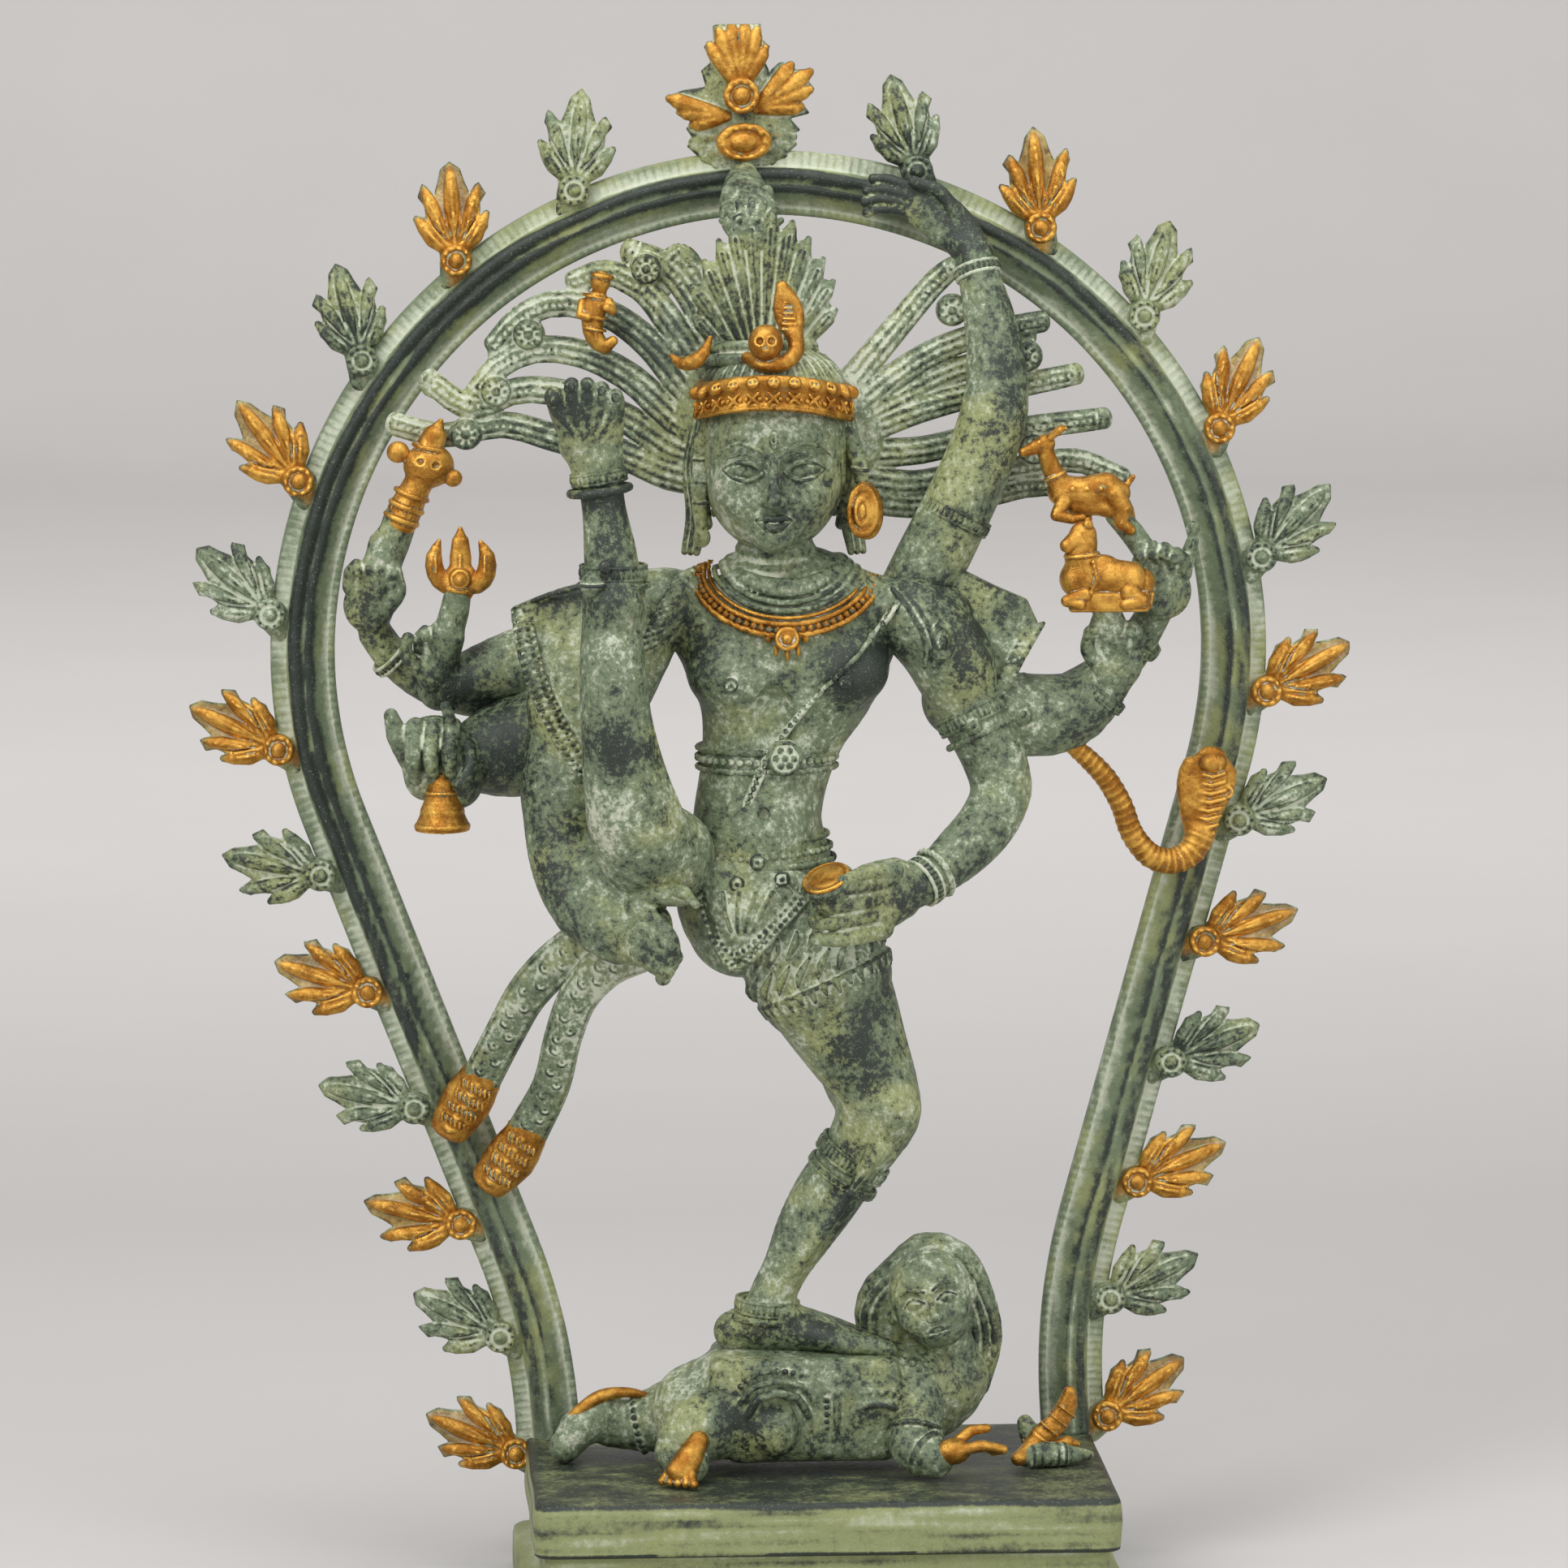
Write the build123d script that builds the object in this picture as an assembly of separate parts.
"""Eight-armed dancing figure in a flame arch, cast in brass: one STEP file per casting, in millimetres.

The row frame stands on the middle of the pedestal's underside: X to the viewer's right, Y away from the
viewer, Z up. Every casting that meets another is cut back to it, as a filed and brazed joint is.
"""

from build123d import *
import math
import os

# ---------------------------------------------------------------- driving dimensions
PEDESTAL_WIDTH = 287.0
PEDESTAL_DEPTH = 184.0
PEDESTAL_HEIGHT = 70.0
SLAB_THICK = 26.0
FOOT_THICK = 22.0
WAIST_INSET = 5.0
FOOT_OVERHANG = 6.0
CORNER_R = 6.0
WALL = 8.0
SIDE_WALL = 4.0

ARCH_Y = 70.0
ARCH_CENTRE = (-19.5, 469.0)
ARCH_RADIUS = 233.0
ARCH_WIDTH = 32.5
ARCH_LEAN = 3.0
LEG_SLOPE = 18.3
LEG_BEND_R = 300.0
LEG_DROP = 233.0
TENON = (10.0, 9.0, 22.0)
TENON_INSET = 5.0
SOCKET_GAP = 0.3

FLAMES_PER_SIDE = 12
FLAME_FIRST = 81.0
FLAME_PITCH = 63.5
FLAME_LEAN = 36.0
FLAME_LENGTH = 49.0
FLAME_THICK = 5.0
BOSS_R = 8.0
BOSS_OFFSET = 17.0

HAIR_Y = 37.0
HAIR_THICK = 9.0

FIGURE_X = 3.4
FIGURE_TURN = 0.059

STUD_R = 4.0
ARCH_STUD_R = 3.0
HOLE_GAP = 0.3
NUT_FLATS_PER_R = 3.25
NUT_THICK_PER_R = 1.6
WASHER_PER_R = 2.1
WASHER_THICK = 1.6
SLIVER_MM3 = 30.0

made = {}


# ---------------------------------------------------------------- shared shapes
def v_minus(a, b):
    """a - b, for points."""
    return tuple(p - q for p, q in zip(a, b))


def limb(stations, side=(0, 1, 0)):
    """A lofted casting through (x, y, z, radius) or (x, y, z, radius across, radius along side)."""
    points = [s[:3] for s in stations]
    sections = []
    for i, s in enumerate(stations):
        ahead = points[min(i + 1, len(points) - 1)]
        behind = points[max(i - 1, 0)]
        along = Vector(*v_minus(ahead, behind)).normalized()
        reference = Vector(*side)
        x_dir = (reference - along * reference.dot(along)).normalized()
        plane = Plane(origin=s[:3], x_dir=x_dir, z_dir=along)
        across = s[3]
        deep = s[4] if len(s) > 4 else s[3]
        sections.append(plane * Ellipse(deep, across))
    return loft(sections)


def ball(x, y, z, r):
    return Pos(x, y, z) * Sphere(r)


def egg(x, y, z, rx, ry, rz):
    """An ellipsoid: a unit sphere stretched along the three axes."""
    return Pos(x, y, z) * scale(Sphere(1), by=(rx, ry, rz))


def rounded_limb(stations, side=(0, 1, 0)):
    """A limb whose far end is closed by a ball of its last radius."""
    x, y, z, r = stations[-1][:4]
    return limb(stations, side) + ball(x, y, z, 0.97 * r)


def plate(outline, y_front, thick):
    """A flat casting facing the viewer: an outline of (x, z) points, from y_front backwards."""
    face = make_face(Polyline(*[(x, y_front, z) for x, z in outline], close=True))
    return extrude(face, amount=thick, dir=(0, 1, 0))


def band(x, y, z, r, width, thick, axis=(0, 0, 1)):
    """A ring round a limb, centred on it, with its axis along the limb."""
    plane = Plane(origin=(x, y, z), z_dir=axis)
    ring = Cylinder(r + thick, width) - Cylinder(r - 1.0, width + 2)
    return plane * ring


def boxes_meet(a, b):
    """Whether two shapes' bounding boxes overlap."""
    p, q = a.bounding_box(), b.bounding_box()
    low = (max(p.min.X, q.min.X), max(p.min.Y, q.min.Y), max(p.min.Z, q.min.Z))
    high = (min(p.max.X, q.max.X), min(p.max.Y, q.max.Y), min(p.max.Z, q.max.Z))
    return all(h > l for l, h in zip(low, high))


def keep(name, shapes, smallest=SLIVER_MM3):
    """Cuts shapes back to every casting made before, drops scraps, and keeps the rest under name."""
    solids = []
    for shape in shapes if isinstance(shapes, (list, tuple)) else [shapes]:
        for earlier in made.values():
            if boxes_meet(shape, earlier):
                for solid in earlier.solids():
                    if boxes_meet(shape, solid):
                        shape = shape - solid
        solids += [s for s in shape.solids() if s.volume > smallest]
    made[name] = Compound(children=[Solid(s.wrapped) for s in solids])
    return made[name]


def figure(name, shapes, depth=0.0):
    """Keeps castings of the figure, which stands a little to the right and is turned towards the left."""
    shift = Pos(FIGURE_X + FIGURE_TURN * depth, 0, 0)
    if isinstance(shapes, (list, tuple)):
        return keep(name, [shift * s for s in shapes])
    return keep(name, shift * shapes)


# ---------------------------------------------------------------- pedestal and its fasteners
def arch_feet():
    """The two x positions where the arch's legs stand on the slab, and the leg path's own foot x."""
    slope = math.radians(LEG_SLOPE)
    lean = math.radians(ARCH_LEAN)
    tangent_x = ARCH_RADIUS * math.cos(slope)
    tangent_z = -ARCH_RADIUS * math.sin(slope)
    straight = LEG_DROP
    bend_top_x = tangent_x - straight * math.sin(slope)
    bend_top_z = tangent_z - straight * math.cos(slope)
    foot_x = bend_top_x - LEG_BEND_R * (1 - math.cos(slope))
    foot_z = bend_top_z - LEG_BEND_R * math.sin(slope)
    feet = []
    for hand in (-1, 1):
        x = hand * (foot_x - TENON_INSET)
        feet.append(ARCH_CENTRE[0] + x * math.cos(lean) - foot_z * math.sin(lean))
    return feet, (tangent_x, tangent_z, bend_top_x, bend_top_z, foot_x, foot_z)


FEET, LEG_PATH = arch_feet()
FIGURE_STUDS = ((-25.0, -2.0), (35.0, -2.0))


def pedestal():
    slab_z = PEDESTAL_HEIGHT - SLAB_THICK
    waist = slab_z - FOOT_THICK
    slab = Pos(0, 0, slab_z) * Box(PEDESTAL_WIDTH, PEDESTAL_DEPTH, SLAB_THICK, align=BOTTOM)
    slab = fillet(slab.edges().filter_by(Axis.Z), CORNER_R)
    slab = fillet(slab.edges().group_by(Axis.Z)[-1], 2.0)
    middle = Pos(0, 0, FOOT_THICK) * Box(
        PEDESTAL_WIDTH - 2 * WAIST_INSET, PEDESTAL_DEPTH - 2 * WAIST_INSET, waist, align=BOTTOM
    )
    foot = Box(
        PEDESTAL_WIDTH + 2 * FOOT_OVERHANG, PEDESTAL_DEPTH + 2 * FOOT_OVERHANG, FOOT_THICK, align=BOTTOM
    )
    foot = fillet(foot.edges().filter_by(Axis.Z), CORNER_R)
    hollow = Box(
        PEDESTAL_WIDTH - 2 * WAIST_INSET - 2 * SIDE_WALL,
        PEDESTAL_DEPTH - 2 * WAIST_INSET - 2 * SIDE_WALL,
        PEDESTAL_HEIGHT - WALL,
        align=BOTTOM,
    )
    body = slab + middle + foot - hollow
    for x in FEET:
        socket = Box(TENON[0] + 2 * SOCKET_GAP, TENON[1] + 2 * SOCKET_GAP, 4 * WALL)
        body -= Pos(x, ARCH_Y, PEDESTAL_HEIGHT) * socket
    for x, y in FIGURE_STUDS:
        body -= Pos(x, y, PEDESTAL_HEIGHT) * Cylinder(STUD_R + HOLE_GAP, 4 * WALL)
    return body


def nut(x, y, top, stud_r):
    """A hexagon nut on a stud, its upper face at top."""
    thick = NUT_THICK_PER_R * stud_r
    hexagon = RegularPolygon(NUT_FLATS_PER_R * stud_r / 2, 6, major_radius=False)
    body = extrude(hexagon, thick) - Cylinder(stud_r, 4 * thick)
    return Pos(x, y, top - thick) * body


def washer(x, y, top, stud_r):
    ring = Cylinder(WASHER_PER_R * stud_r, WASHER_THICK, align=BOTTOM)
    ring -= Cylinder(stud_r + HOLE_GAP, 4 * WASHER_THICK)
    return Pos(x, y, top - WASHER_THICK) * ring


# ---------------------------------------------------------------- flame arch
def lean(shape):
    """Places a shape drawn round the arch's centre, in the XZ plane, where the leaning arch stands."""
    return Pos(ARCH_CENTRE[0], ARCH_Y, ARCH_CENTRE[1]) * Rot(0, -ARCH_LEAN, 0) * shape


def arch_profile():
    """The ridge section, as (outward, towards the viewer) points from the arch's centre line."""
    half = ARCH_WIDTH / 2
    return [
        (-half, -7), (half, -7), (half, 0), (half - 4, 0), (half - 5, 1.5), (2, 7.5), (1, 7.8),
        (-half + 4, 2), (-half + 3, 0), (-half, -0.5),
    ]  # fmt: skip


def arch_ring():
    tangent_x, tangent_z, bend_x, bend_z, foot_x, foot_z = LEG_PATH
    below = foot_z - 20
    crown = ThreePointArc((-tangent_x, 0, tangent_z), (0, 0, ARCH_RADIUS), (tangent_x, 0, tangent_z))
    slope = math.radians(LEG_SLOPE / 2)
    sides = []
    for hand in (1, -1):
        bend_centre = (foot_x + LEG_BEND_R, foot_z)
        middle = (
            bend_centre[0] - LEG_BEND_R * math.cos(slope),
            bend_centre[1] + LEG_BEND_R * math.sin(slope),
        )
        sides += [
            Line((hand * tangent_x, 0, tangent_z), (hand * bend_x, 0, bend_z)),
            ThreePointArc(
                (hand * bend_x, 0, bend_z), (hand * middle[0], 0, middle[1]), (hand * foot_x, 0, foot_z)
            ),
            Line((hand * foot_x, 0, foot_z), (hand * foot_x, 0, below)),
        ]
    path = Wire([crown] + sides)
    start = Plane(origin=(foot_x, 0, below), x_dir=(1, 0, 0), z_dir=(0, 0, 1))
    section = start * make_face(Polyline(*[(u, -w) for u, w in arch_profile()], close=True))
    ring = lean(sweep(section, path=path))
    ring -= Pos(0, ARCH_Y, 0) * Box(900, 200, 2 * PEDESTAL_HEIGHT)
    for x in FEET:
        tenon = Pos(x, ARCH_Y, PEDESTAL_HEIGHT - TENON[2]) * Box(TENON[0], TENON[1], TENON[2] + 6,
            align=BOTTOM)
        stud = Pos(x, ARCH_Y, PEDESTAL_HEIGHT - TENON[2] - 14) * Cylinder(ARCH_STUD_R, 20, align=BOTTOM)
        ring += tenon + stud
    return ring


def along_arch(distance):
    """(x, z, outward angle) on the arch's centre line, distance from the top along the right side."""
    tangent_x, tangent_z, _, _, _, _ = LEG_PATH
    turned = math.radians(90 + LEG_SLOPE)
    angle = distance / ARCH_RADIUS
    if angle < turned:
        outward = math.pi / 2 - angle
        return ARCH_RADIUS * math.cos(outward), ARCH_RADIUS * math.sin(outward), outward
    rest = distance - ARCH_RADIUS * turned
    slope = math.radians(LEG_SLOPE)
    if rest < LEG_DROP:
        return (
            tangent_x - rest * math.sin(slope),
            tangent_z - rest * math.cos(slope),
            -slope,
        )
    turn = (rest - LEG_DROP) / LEG_BEND_R
    left = slope - turn
    foot_x, foot_z = LEG_PATH[4], LEG_PATH[5]
    return (
        foot_x + LEG_BEND_R * (1 - math.cos(left)),
        foot_z + LEG_BEND_R * math.sin(left),
        -left,
    )


def leaf_outline(length, width):
    """Half-symmetric five-pointed flame leaf, pointing along +X from its boss."""
    upper = [
        (-0.10, 0.13), (0.08, 0.30), (0.34, 0.50), (0.42, 0.34), (0.64, 0.36), (0.66, 0.18), (1.0, 0.0),
    ]  # fmt: skip
    points = [(length * a, width * b) for a, b in upper]
    return points + [(x, -z) for x, z in reversed(points[:-1])]


def flame_places():
    """(x, z, leaf angle in degrees) of each flame's boss, right side then left side."""
    places = []
    for i in range(FLAMES_PER_SIDE):
        x, z, outward = along_arch(FLAME_FIRST + i * FLAME_PITCH)
        x += BOSS_OFFSET * math.cos(outward)
        z += BOSS_OFFSET * math.sin(outward)
        angle = min(math.degrees(outward) + FLAME_LEAN, 96 - 6 * i)
        angle = angle if i else 100.0
        places.append((x, z, angle, i))
    return places + [(-x, z, 180 - angle, i) for x, z, angle, i in places]


def flame(x, z, angle):
    outline = leaf_outline(FLAME_LENGTH, 36.0)
    leaf = plate(outline, -FLAME_THICK / 2, FLAME_THICK)
    return lean(Pos(x, 0, z) * Rot(0, -angle, 0) * leaf)


def boss(x, z, r=BOSS_R, stretch=1.0):
    """A disc with a rim and a domed middle, facing the viewer."""
    disc = Cylinder(r, 9.0) + Pos(0, 0, 4.5) * Cylinder(0.45 * r, 2.4)
    if stretch != 1.0:
        disc = scale(disc, by=(stretch, 1, 1))
    return lean(Pos(x, -3.5, z) * Rot(90, 0, 0) * disc)


def crest():
    """Three leaves over the crown of the arch."""
    root = ARCH_RADIUS + 12
    leaves = []
    for angle, length, width, x, z in ((90, 30, 26, 0, 37), (28, 46, 30, 14, 22), (152, 46, 30, -14, 22)):
        leaf = plate(leaf_outline(length, width), -3, 6)
        leaves.append(Pos(x, 0, root + z) * Rot(0, -angle, 0) * leaf)
    stem = plate([(-24, root - 2), (24, root - 2), (20, root + 40), (-20, root + 40)], -3, 6)
    return lean(leaves[0] + leaves[1] + leaves[2] + stem)


def build_arch():
    keep("flame_arch", arch_ring(), 5000)
    crest_discs = [boss(0, ARCH_RADIUS + 46, 9.0), boss(0, ARCH_RADIUS + 21, 9.5, 1.4)]
    groups = {"gilded": ([], crest_discs), "patinated": ([], [])}
    for x, z, angle, i in flame_places():
        kind = "gilded" if i % 2 else "patinated"
        groups[kind][0].append(flame(x, z, angle))
        groups[kind][1].append(boss(x, z))
    for kind, (leaves, bosses) in groups.items():
        keep("flame_leaves_" + kind, leaves)
    keep("crest_leaf", crest())
    for kind, (leaves, bosses) in groups.items():
        keep("flame_bosses_" + kind, bosses)


# ---------------------------------------------------------------- dwarf under the dancer's foot
def build_dwarf():
    top = PEDESTAL_HEIGHT
    body = limb(
        [
            (-66, 2, top + 27, 22, 24),
            (-45, -2, top + 32, 29, 32),
            (-15, -2, top + 34, 29, 33),
            (20, -2, top + 33, 28, 32),
            (52, -2, top + 33, 27, 30),
            (68, -2, top + 36, 18, 20),
        ]
    )
    knee = rounded_limb([(-36, -22, top + 34, 15), (-38, -36, top + 20, 15), (-44, -42, top + 14, 13)])
    body = body + knee
    body -= Pos(0, 0, 0) * Box(900, 900, 2 * top)
    for x, y in FIGURE_STUDS:
        body += Pos(x - FIGURE_X, y, top - WALL - 20) * Cylinder(STUD_R, 40, align=BOTTOM)
    figure("dwarf_body", body)
    figure("dwarf_head", egg(57, -14, 158, 21, 21, 25) + limb([(66, 0, 118, 17), (62, -6, 140, 14)]))
    hair = plate(
        [(38, 150), (44, 172), (60, 184), (74, 180), (88, 158), (91, 132), (84, 104), (66, 100), (52,
            112)],
        4,
        16,
    )
    figure("dwarf_hair", hair)
    leg = rounded_limb([(-60, 14, top + 24, 20), (-84, 18, top + 17, 15), (-104, 20, top + 14, 12)])
    foot = rounded_limb([(-104, 20, top + 14, 12, 10), (-122, 16, top + 20, 11, 10), (-132, 12,
        top + 16, 8, 8)])
    floor = Box(900, 900, 2 * top)
    near_foot = limb([(-58, -44, top + 18, 9), (-68, -50, top + 14, 10), (-74, -56, top + 6, 8)])
    figure("dwarf_legs", [leg + foot - floor, near_foot - floor])
    arm = rounded_limb([(40, -26, top + 34, 14), (34, -40, top + 18, 12), (52, -48, top + 12, 10)])
    wrist = rounded_limb([(54, -48, top + 13, 9), (74, -48, top + 24, 7, 8), (90, -47, top + 26, 6)])
    figure("dwarf_arm", arm + wrist - floor)
    coil = rounded_limb([(84, -20, top + 8, 7), (104, -8, top + 9, 7), (116, -4, top + 14, 7), (124,
        -6, top + 30, 6)])
    figure("dwarf_snake", coil - floor)


# ---------------------------------------------------------------- dancer's body
def torso():
    return limb(
        [
            (-44, -2, 331, 17, 24),
            (-37, 0, 346, 35, 31),
            (-31, 2, 362, 39, 33),
            (-28, 2, 380, 33, 30),
            (-27, 3, 400, 30, 28),
            (-25, 4, 424, 33, 27),
            (-22, 5, 446, 39, 30),
            (-20, 6, 466, 49, 33),
            (-20, 7, 486, 60, 31),
            (-22, 8, 500, 56, 26),
            (-24, 8, 512, 28, 21),
            (-24, 7, 524, 19, 18),
            (-25, 6, 540, 18, 18),
        ],
        side=(0, 1, 0),
    )


def standing_leg():
    thigh = limb(
        [
            (-30, 2, 352, 26, 29),
            (-12, 0, 330, 32, 31),
            (2, -2, 305, 30, 29),
            (16, -4, 276, 23, 23),
            (27, -6, 252, 18, 19),
            (24, -4, 236, 17, 18),
            (8, 0, 218, 16, 17),
            (-8, 1, 192, 15, 16),
            (-22, 1, 166, 11, 12),
            (-27, 1, 152, 12, 13),
            (-28, 0, 138, 14, 15),
        ]
    )
    foot = limb(
        [
            (-45, 0, 137, 9, 11),
            (-36, 0, 139, 12, 14),
            (-15, -2, 138, 12, 15),
            (8, -5, 134, 8, 17),
            (24, -7, 131, 5, 17),
            (31, -8, 130, 3, 12),
        ]
    )
    return thigh + foot


def raised_leg():
    leg = limb(
        [
            (-82, -31, 368, 24, 25),
            (-92, -46, 394, 24, 24),
            (-98, -55, 420, 21, 21),
            (-102, -60, 447, 17, 18),
            (-103, -60, 474, 15, 16),
            (-103, -58, 505, 15, 16),
            (-103, -57, 536, 12, 13),
            (-106, -57, 560, 11, 11),
            (-108, -58, 578, 12, 12),
        ]
    )
    foot = limb(
        [
            (-108, -59, 570, 12, 10),
            (-113, -62, 590, 17, 9),
            (-117, -67, 606, 19, 8),
            (-118, -71, 616, 16, 5),
        ]
    )
    return leg + foot + ball(-78, -27, 364, 25)


def build_body():
    figure("torso", torso())
    figure("standing_leg", standing_leg())
    figure("raised_leg", raised_leg(), -58)
    head = egg(-25, 1, 570, 36, 37, 43) + egg(-26, 4, 606, 33, 34, 26)
    nose = limb([(-24, -30, 580, 3), (-24, -37, 564, 5), (-24, -38, 557, 6)], side=(1, 0, 0))
    figure("head", head + nose)
    cape_left = plate([(-146, 496), (-104, 508), (-70, 505), (-64, 470), (-112, 436), (-120, 438),
        (-147, 486)], 16, 13)
    cape_right = plate([(103, 486), (62, 510), (22, 508), (30, 470), (58, 432), (88, 440), (97, 462)],
        16, 13)
    figure("shoulder_capes", [cape_left, cape_right])


# ---------------------------------------------------------------- arms
def hand(x, y, z, dx, dz, size=1.0):
    """A palm with four fingers and a thumb, fingers pointing along (dx, dz) in the viewer's plane."""
    length = math.hypot(dx, dz)
    dx, dz = dx / length, dz / length
    palm = egg(x, y, z, 11 * size, 8 * size, 12 * size)
    fingers = []
    for i, spread in enumerate((-0.45, -0.15, 0.15, 0.45)):
        tip = (x + 22 * size * (dx - spread * dz), y - 1, z + 22 * size * (dz + spread * dx))
        fingers.append(limb([(x, y, z, 4.2 * size), tip + (3.2 * size,)]))
    thumb_tip = (x + 17 * size * (0.5 * dx + 0.85 * dz), y - 4, z + 17 * size * (0.5 * dz - 0.85 * dx))
    thumb = limb([(x, y, z, 4.5 * size), thumb_tip + (3.4 * size,)])
    for finger in fingers + [thumb]:
        palm = palm + finger
    return palm


def build_arms():
    figure(
        "hip_arm",
        limb(
            [
                (48, 8, 490, 17), (60, 9, 466, 17), (74, 8, 440, 15), (87, 5, 416, 14), (84, -2, 398, 14),
                (68, -12, 380, 13), (50, -24, 366, 10), (38, -34, 362, 12, 10), (26, -42, 358, 13, 9),
                (14, -46, 352, 11, 8), (6, -47, 347, 7, 6),
            ]
        ),
    )  # fmt: skip
    figure(
        "raised_arm",
        limb(
            [
                (40, 14, 500, 17), (56, 15, 526, 15), (71, 16, 554, 14), (83, 18, 582, 14), (85, 22,
                    606, 13),
                (80, 30, 632, 12), (75, 38, 656, 9), (72, 43, 668, 8), (64, 47, 680, 9, 6),
                (50, 50, 690, 9, 5), (34, 52, 698, 6, 4),
            ]
        ),
    )  # fmt: skip
    figure(
        "thigh_arm",
        limb(
            [
                (-108, 12, 486, 17), (-124, 12, 462, 18), (-137, 10, 434, 17), (-142, 8, 408, 16),
                (-138, 4, 388, 15), (-128, -6, 368, 12), (-117, -18, 352, 11), (-106, -28, 344, 14, 11),
                (-92, -34, 339, 14, 10), (-80, -38, 333, 10, 8),
            ]
        ),
    )  # fmt: skip
    trident = limb([(-128, 26, 464, 15), (-150, 30, 464, 14), (-172, 32, 462, 13), (-192, 28, 458, 9)])
    figure("trident_arm", trident + hand(-192, 22, 470, 0.2, 1.0))
    mace = limb([(-160, 42, 458, 12), (-184, 46, 456, 11), (-206, 44, 464, 9), (-224, 39, 486, 8)])
    figure("mace_arm", mace + hand(-226, 36, 500, -0.1, 1.0, 1.15))
    bell = limb([(-134, 22, 430, 18), (-154, 24, 426, 16), (-170, 22, 422, 13), (-186, 14, 425, 10)])
    figure("bell_arm", bell + hand(-190, 10, 426, -0.5, 0.4, 1.05))
    bull = limb([(76, 22, 444, 17), (98, 24, 440, 17), (118, 24, 440, 16), (138, 21, 450, 11), (144,
        19, 460, 10)])
    figure("bull_arm", bull + hand(145, 18, 466, -0.1, 1.0, 1.15))
    deer = limb([(124, 36, 452, 10), (146, 38, 466, 10), (158, 32, 482, 9), (167, 23, 498, 8)])
    figure("deer_arm", deer + hand(168, 20, 502, -0.1, 1.0, 1.15))


# ---------------------------------------------------------------- what the hands carry
def beast(x, y, z, long, tall):
    """A lying animal: body, neck, head and folded legs, facing the viewer's left."""
    body = limb([(x - 0.4 * long, y, z, 0.16 * tall), (x, y, z, 0.24 * tall), (x + 0.45 * long, y, z,
        0.22 * tall)])
    neck = limb([(x - 0.3 * long, y, z, 0.17 * tall), (x - 0.42 * long, y, z + 0.55 * tall, 0.11 * tall)])
    head = limb(
        [
            (x - 0.34 * long, y, z + 0.6 * tall, 0.13 * tall),
            (x - 0.48 * long, y, z + 0.6 * tall, 0.12 * tall),
            (x - 0.68 * long, y, z + 0.58 * tall, 0.07 * tall),
        ]
    )
    legs = limb([(x + 0.42 * long, y, z, 0.15 * tall), (x + 0.44 * long, y, z - 0.5 * tall, 0.09 * tall)])
    return body + neck + head + legs


def build_attributes():
    cup_axis = Plane(origin=(3, -56, 364), z_dir=(-0.3, -0.45, 0.84))
    cup = cup_axis * Cone(8, 13, 26)
    figure("cup", cup)
    shaft = limb([(-190, 12, 476, 7), (-182, 14, 500, 9), (-178, 15, 508, 11)])
    prongs = [
        limb([(-178, 15, 506, 6), (-179, 15, 524, 5), (-179, 15, 538, 1.5)]),
        limb([(-178, 15, 508, 5), (-192, 15, 512, 5), (-196, 15, 522, 5), (-191, 15, 533, 1.5)]),
        limb([(-178, 15, 508, 5), (-166, 15, 510, 5), (-161, 15, 520, 5), (-166, 15, 532, 1.5)]),
    ]
    figure("trident", shaft + prongs[0] + prongs[1] + prongs[2])
    mace = limb([(-216, 28, 512, 9), (-208, 29, 532, 10), (-202, 30, 548, 8), (-198, 30, 558, 8)])
    mace = mace + egg(-195, 30, 568, 12, 10, 11) + limb([(-194, 30, 574, 7), (-189, 30, 587, 2)])
    mace = mace + ball(-210, 28, 572, 5) + ball(-182, 28, 561, 4)
    figure("skull_mace", mace)
    bell = Pos(-188, 0, 400) * (Cone(14, 7, 22) + Pos(0, 0, -12) * Cylinder(13.5, 3) + Pos(0, 0,
        13) * Sphere(6))
    figure("hand_bell", bell)
    bull = beast(137, 2, 514, 38, 26) + limb([(140, 6, 486, 10), (139, 4, 500, 11), (138, 3, 514, 8)])
    figure("bull", bull)
    deer = beast(128, 14, 557, 40, 26) + limb([(160, 20, 512, 8), (152, 18, 530, 8), (146, 16, 546, 6)])
    figure("deer", deer)
    body = limb(
        [
            (126, 22, 424, 6), (140, 28, 406, 7), (152, 36, 390, 7), (160, 42, 372, 7), (171, 48, 361, 7),
            (184, 51, 366, 7), (189, 52, 378, 8),
        ]
    )  # fmt: skip
    hood = limb([(187, 52, 374, 7, 6), (189, 52, 388, 11, 6), (192, 52, 402, 13, 6), (194, 52, 413, 8,
        6)])
    figure("cobra", body + hood, 45)


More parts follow.
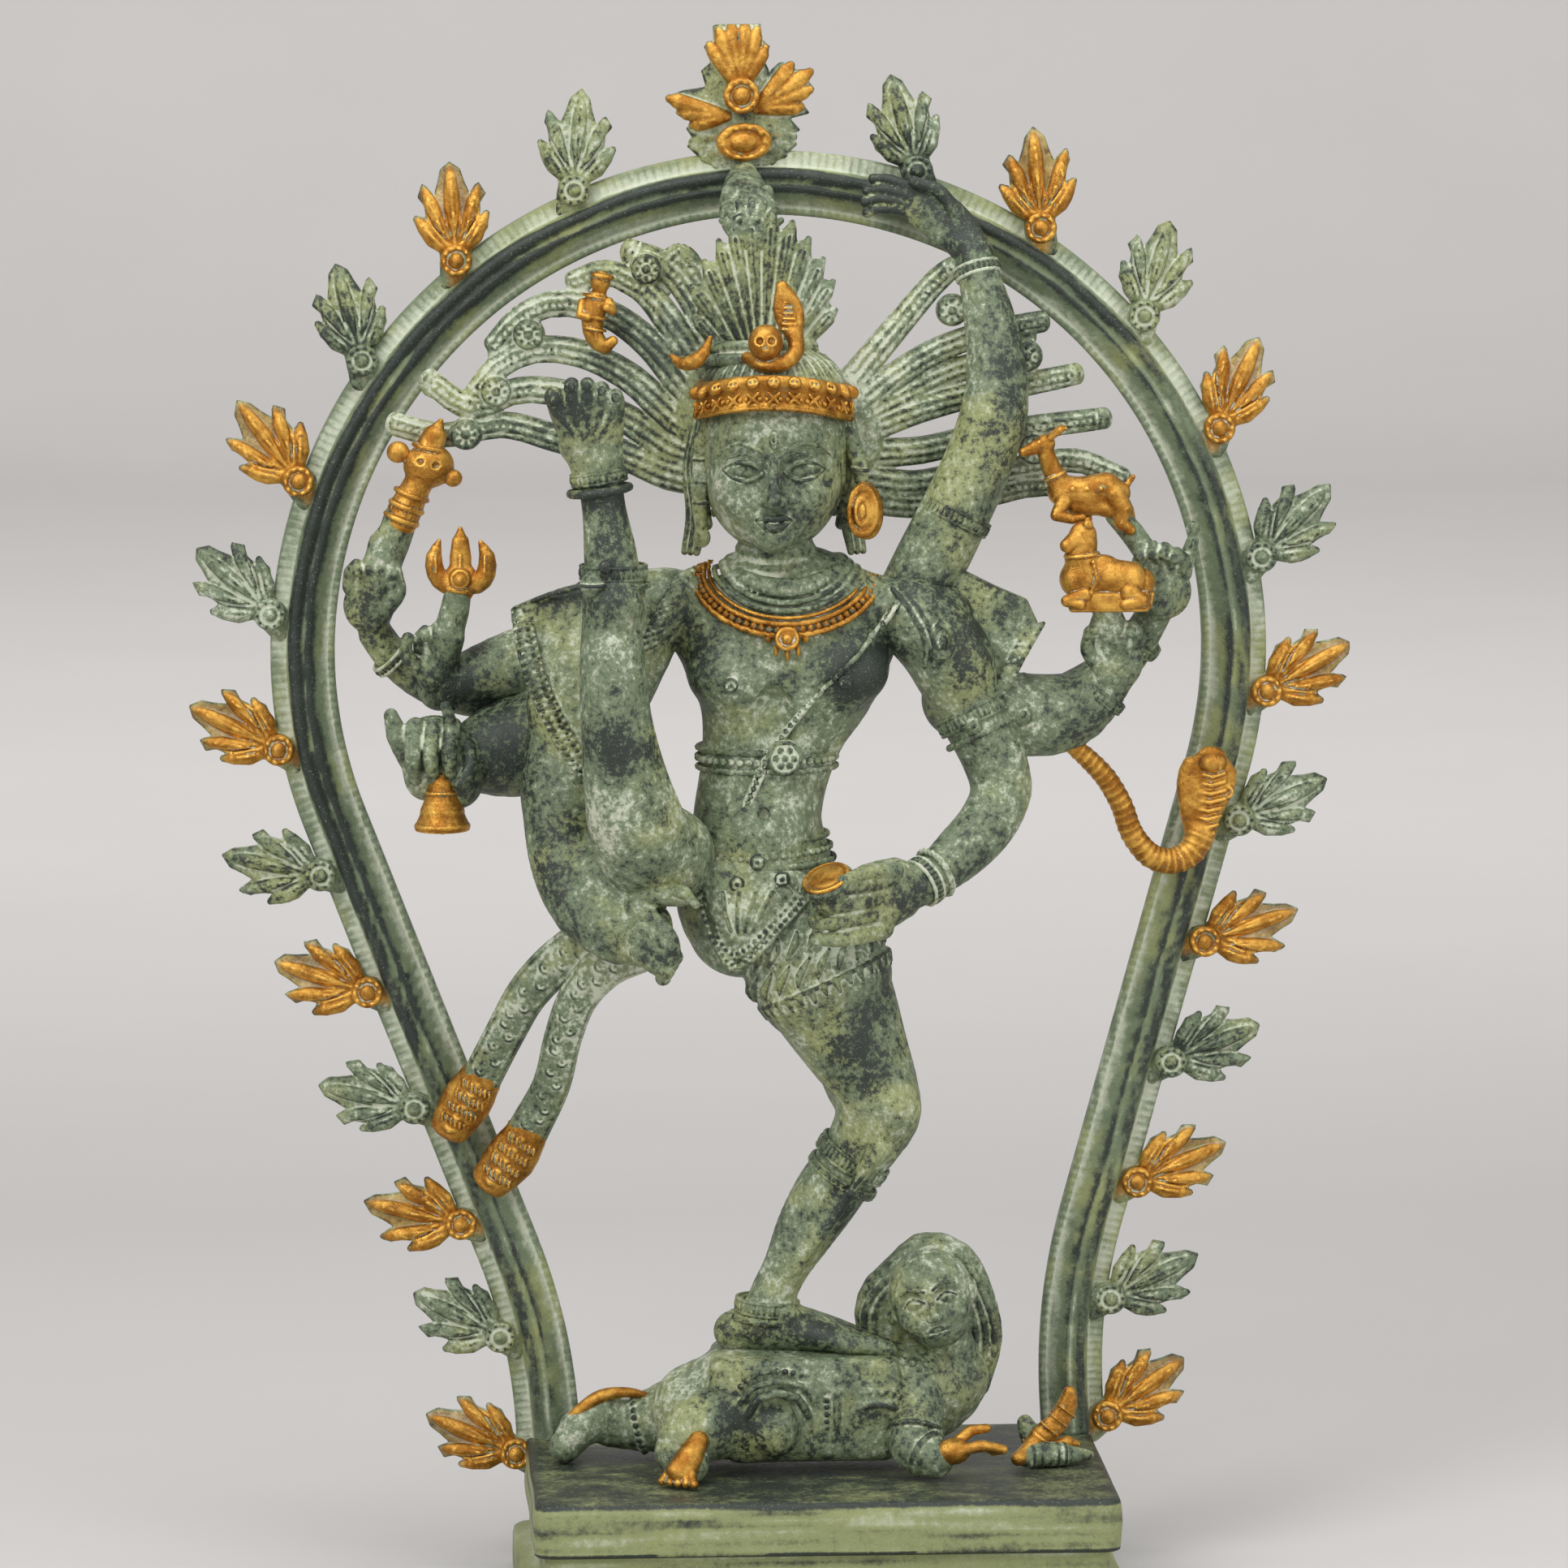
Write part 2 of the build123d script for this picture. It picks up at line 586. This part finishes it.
# ---------------------------------------------------------------- head-dress, hair and ornaments
def build_headdress():
    fan = [
        (-50, 622), (-68, 646), (-64, 656), (-58, 662), (-50, 672), (-45, 686), (-26, 688), (-14, 680),
            (-6, 672),
        (4, 662), (4, 648), (-12, 626),
    ]  # fmt: skip
    figure("plume_fan", plate(fan, 8, 12))
    finial = limb([(-38, 20, 676, 14, 8), (-40, 34, 688, 16, 10), (-41, 50, 700, 16, 12), (-41, 62,
        712, 12, 6)])
    figure("plume_finial", finial)
    figure("skull_ornament", ball(-29, -26, 630, 9))
    snake = rounded_limb([(-36, -18, 622, 4), (-20, -20, 622, 5), (-14, -17, 632, 5), (-20, -14, 650, 6)])
    figure("hair_cobra", snake)
    figure("crescent_moon", limb([(-56, -14, 626, 4), (-64, -13, 621, 6), (-73, -10, 618, 4)]))
    ring = Pos(-25, 0, 604) * scale(Cylinder(1, 13), by=(39, 40, 1))
    figure("headband", ring)
    pendant = rounded_limb([(-59, 2, 575, 7), (-61, 0, 552, 6), (-59, -2, 534, 6)])
    disc = Plane(origin=(20, -6, 546), z_dir=(0.5, -0.8, 0.1)) * Cylinder(12, 8)
    hook = limb([(13, 2, 580, 6), (19, -4, 552, 6)])
    figure("ear_ornaments", [pendant, disc + hook])


def lock(points, width):
    """One flat hair strand through (x, z) points, tapering to a round tip."""
    upper, lower = [], []
    for i, (x, z) in enumerate(points):
        before = points[max(i - 1, 0)]
        after = points[min(i + 1, len(points) - 1)]
        run, rise = after[0] - before[0], after[1] - before[1]
        half = 0.5 * width * (1 - 0.3 * i / (len(points) - 1)) / math.hypot(run, rise)
        upper.append((x - rise * half, z + run * half))
        lower.append((x + rise * half, z - run * half))
    tip_x, tip_z = points[-1]
    strand = plate(upper + lower[::-1], HAIR_Y, HAIR_THICK)
    return strand + Pos(tip_x, HAIR_Y + HAIR_THICK / 2, tip_z) * Rot(90, 0, 0) * Cylinder(0.4 * width,
        HAIR_THICK)


def build_hair():
    mass = egg(-25, 28, 588, 37, 22, 42)
    left = [
        [(-50, 560), (-75, 573), (-110, 583), (-150, 588), (-178, 585), (-206, 586)],
        [(-50, 568), (-80, 584), (-115, 598), (-150, 600), (-176, 604)],
        [(-50, 576), (-78, 594), (-104, 610), (-135, 620), (-160, 622), (-178, 610)],
        [(-48, 584), (-74, 604), (-98, 620), (-122, 634), (-146, 640), (-168, 632)],
        [(-46, 592), (-70, 612), (-90, 628), (-104, 644), (-118, 660), (-142, 660)],
        [(-44, 600), (-62, 618), (-78, 632), (-88, 650), (-90, 664), (-104, 674)],
    ]
    right = [
        [(0, 555), (28, 563), (62, 564), (96, 560), (122, 556), (150, 543)],
        [(0, 563), (28, 573), (62, 577), (98, 574), (130, 570), (150, 560)],
        [(0, 571), (28, 583), (62, 590), (98, 590), (138, 586)],
        [(0, 579), (26, 594), (58, 604), (92, 608), (124, 607)],
        [(-2, 587), (22, 604), (50, 618), (80, 628), (110, 635)],
        [(-4, 595), (16, 614), (32, 632), (44, 650), (58, 660)],
    ]
    for points in left + right:
        mass = mass + lock(points, 11.0)
    figure("hair_locks", mass)
    discs = [(-178, 594), (-162, 613), (-146, 631), (-92, 656), (66, 640), (100, 599), (112, 570)]
    rosettes = [Pos(x, HAIR_Y, z) * Rot(90, 0, 0) * Cylinder(8, 12) for x, z in discs]
    figure("hair_rosettes", rosettes)
    figure("river_goddess", rounded_limb([(-110, 18, 624, 6), (-113, 17, 640, 7), (-110, 18, 660, 6)]))


def build_ornaments():
    neck = (-24, 6, 508)
    collar = Plane(origin=neck, z_dir=(0.0, -0.45, 0.9)) * scale(Torus(1, 0.16), by=(36, 27, 22))
    figure("necklace", collar)
    thread = limb(
        [
            (22, -20, 488, 3.2), (8, -28, 474, 3.2), (-8, -31, 458, 3.2), (-20, -28, 440, 3.2),
            (-30, -26, 424, 3.2), (-36, -28, 405, 3.2),
        ]
    )  # fmt: skip
    figure("sacred_thread", thread)
    belly = Pos(-25, 4, 424) * scale(Cylinder(1, 9), by=(35.5, 29.5, 1))
    buckle = Pos(-19, -24, 427) * Rot(90, 0, 0) * Cylinder(8.5, 10)
    figure("belly_band", belly + buckle)
    hips = Pos(-30, 2, 372) * Rot(0, -8, 0) * scale(Cylinder(1, 12), by=(40, 35, 1))
    figure("hip_belt", hips)
    apron = plate([(-62, 366), (-2, 366), (-12, 340), (-34, 326), (-48, 322), (-58, 332)], -37, 14)
    figure("apron", apron)
    knot = limb([(-2, -2, 314, 33, 34), (9, -3, 292, 30, 31)])
    figure("tiger_skin_cuff", knot)
    legs = [
        ("knee_garters", [(12, 0, 223, 17, 6, 3, (0.55, 0, 0.8)), (-106, -58, 524, 13.5, 6, 3, (0, 0,
            1))]),
        ("anklets", [(-27, 0, 150, 13, 8, 4, (-0.15, 0, 1)), (-110, -58, 573, 12, 6, 4, (0, 0, 1))]),
        (
            "armlets",
            [
                (70, 9, 446, 16, 7, 3, (0.45, 0, -0.9)),
                (101, 24, 440, 17, 6, 3, (1, 0, 0)),
                (64, 16, 541, 15, 6, 3, (0.45, 0, 0.9)),
            ],
        ),
        (
            "bracelets",
            [
                (48, -25, 365, 10.5, 6, 3, (-0.75, -0.5, -0.5)),
                (74, 40, 660, 9, 5, 3, (-0.25, 0.35, 1)),
                (-121, -14, 357, 11.5, 6, 3, (0.5, -0.5, -0.7)),
                (138, 22, 451, 12, 5, 3, (0.6, 0, 0.8)),
            ],
        ),
    ]
    for name, rings in legs:
        figure(name, [band(*ring) for ring in rings])
    figure("garter_bells", [egg(-113, -72, 516, 7, 6, 8), egg(22, -17, 232, 8, 6, 12)])


def build_sash():
    upper = limb(
        [
            (-100, 8, 332, 11, 6), (-122, 16, 322, 11, 6), (-142, 24, 308, 10, 5), (-158, 34, 284, 9, 5),
            (-170, 46, 258, 9, 5),
        ]
    )  # fmt: skip
    lower = limb(
        [
            (-100, 0, 326, 11, 6), (-118, 10, 308, 10, 6), (-130, 18, 286, 9, 5), (-136, 32, 256, 9, 5),
            (-148, 48, 228, 10, 5),
        ]
    )  # fmt: skip
    figure("sash_tails", upper + lower)
    tips = [
        limb([(-171, 47, 256, 9, 5), (-178, 54, 244, 11, 6), (-187, 56, 230, 8, 5)]),
        limb([(-149, 49, 226, 9, 5), (-158, 55, 214, 12, 6), (-168, 56, 203, 8, 5)]),
    ]
    figure("sash_tips", tips)


# ---------------------------------------------------------------- assembly
BOTTOM = (Align.CENTER, Align.CENTER, Align.MIN)

keep("pedestal", pedestal())
build_arch()
build_dwarf()
build_body()
build_arms()
build_attributes()
build_headdress()
build_hair()
build_ornaments()
build_sash()
under_slab = PEDESTAL_HEIGHT - WALL
tenon_end = PEDESTAL_HEIGHT - TENON[2]
fastened = [(x, y, under_slab, STUD_R) for x, y in FIGURE_STUDS]
fastened += [(x, ARCH_Y, tenon_end, ARCH_STUD_R) for x in FEET]
keep("washers", [washer(*place) for place in fastened])
keep("nuts", [nut(x, y, top - WASHER_THICK, r) for x, y, top, r in fastened])

os.makedirs("parts", exist_ok=True)
for name, casting in made.items():
    export_step(casting, f"parts/{name}.step")
print(len(made), "nodes", sum(len(c.solids()) for c in made.values()), "solids")
